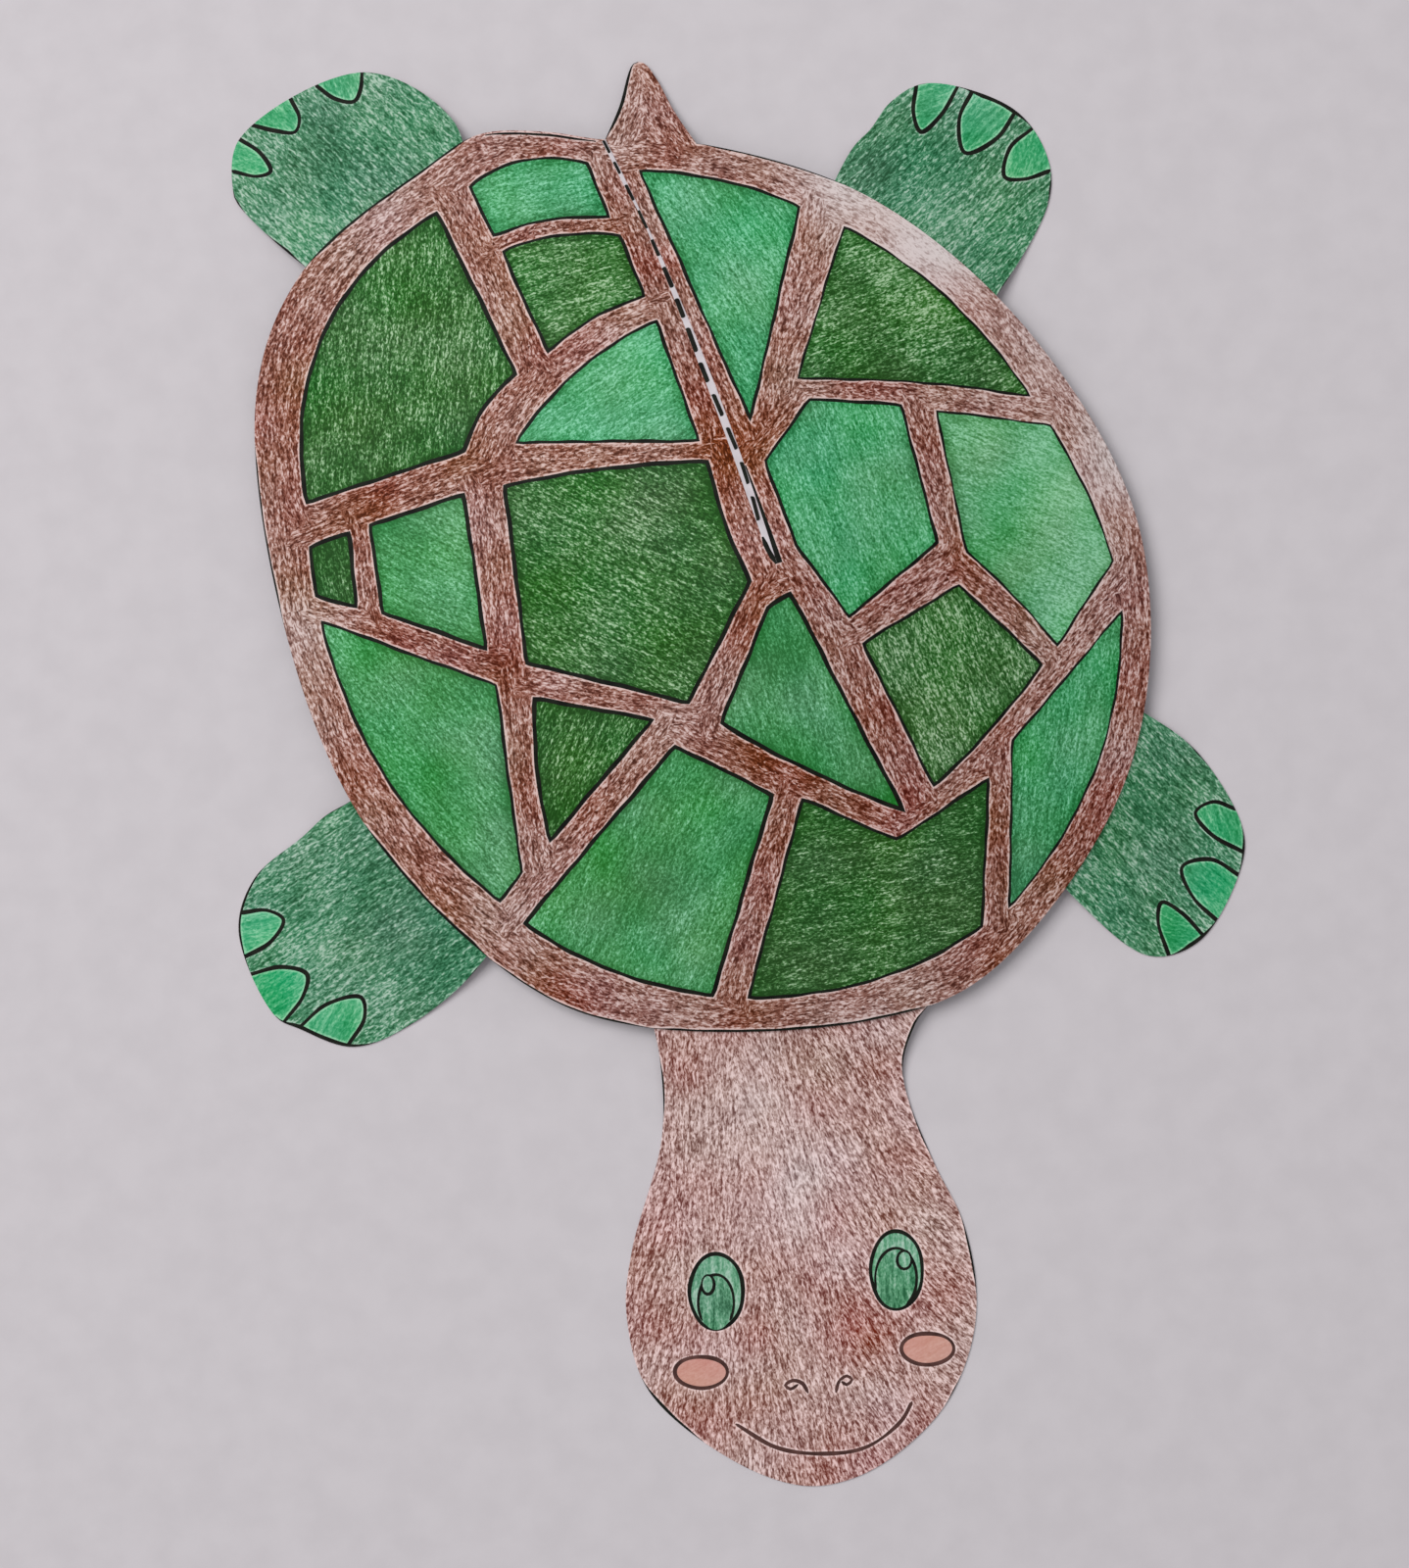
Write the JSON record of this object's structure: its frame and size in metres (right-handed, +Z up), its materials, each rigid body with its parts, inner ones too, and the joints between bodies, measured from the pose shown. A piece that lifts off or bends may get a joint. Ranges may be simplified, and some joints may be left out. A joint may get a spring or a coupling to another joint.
{
  "type": "paper turtle cut-out",
  "caption": "Child's card turtle: a domed, coloured-pencil shell with a lapped slit, a pointed tail, a flat head and legs glued under the rim.",
  "frame": {"origin": "on the table, below the middle of the turtle's plan", "axes": "+Z up from the table, +Y towards the tail, the head at -Y, +X to the turtle's left"},
  "size_m": [0.2092, 0.3014, 0.0274],
  "materials": {
    "shell_card": "white card coloured with brown and green pencil, black marker outlines",
    "head_card": "white card shaded with brown pencil, face drawn in pencil and marker",
    "leg_card": "white card coloured with sea-green pencil, claws outlined in black marker"
  },
  "bodies": {
    "root": {"shell": "shell_card", "head": "head_card", "front_left_leg": "leg_card", "front_right_leg": "leg_card", "rear_left_leg": "leg_card", "rear_right_leg": "leg_card"}
  },
  "joints": []
}
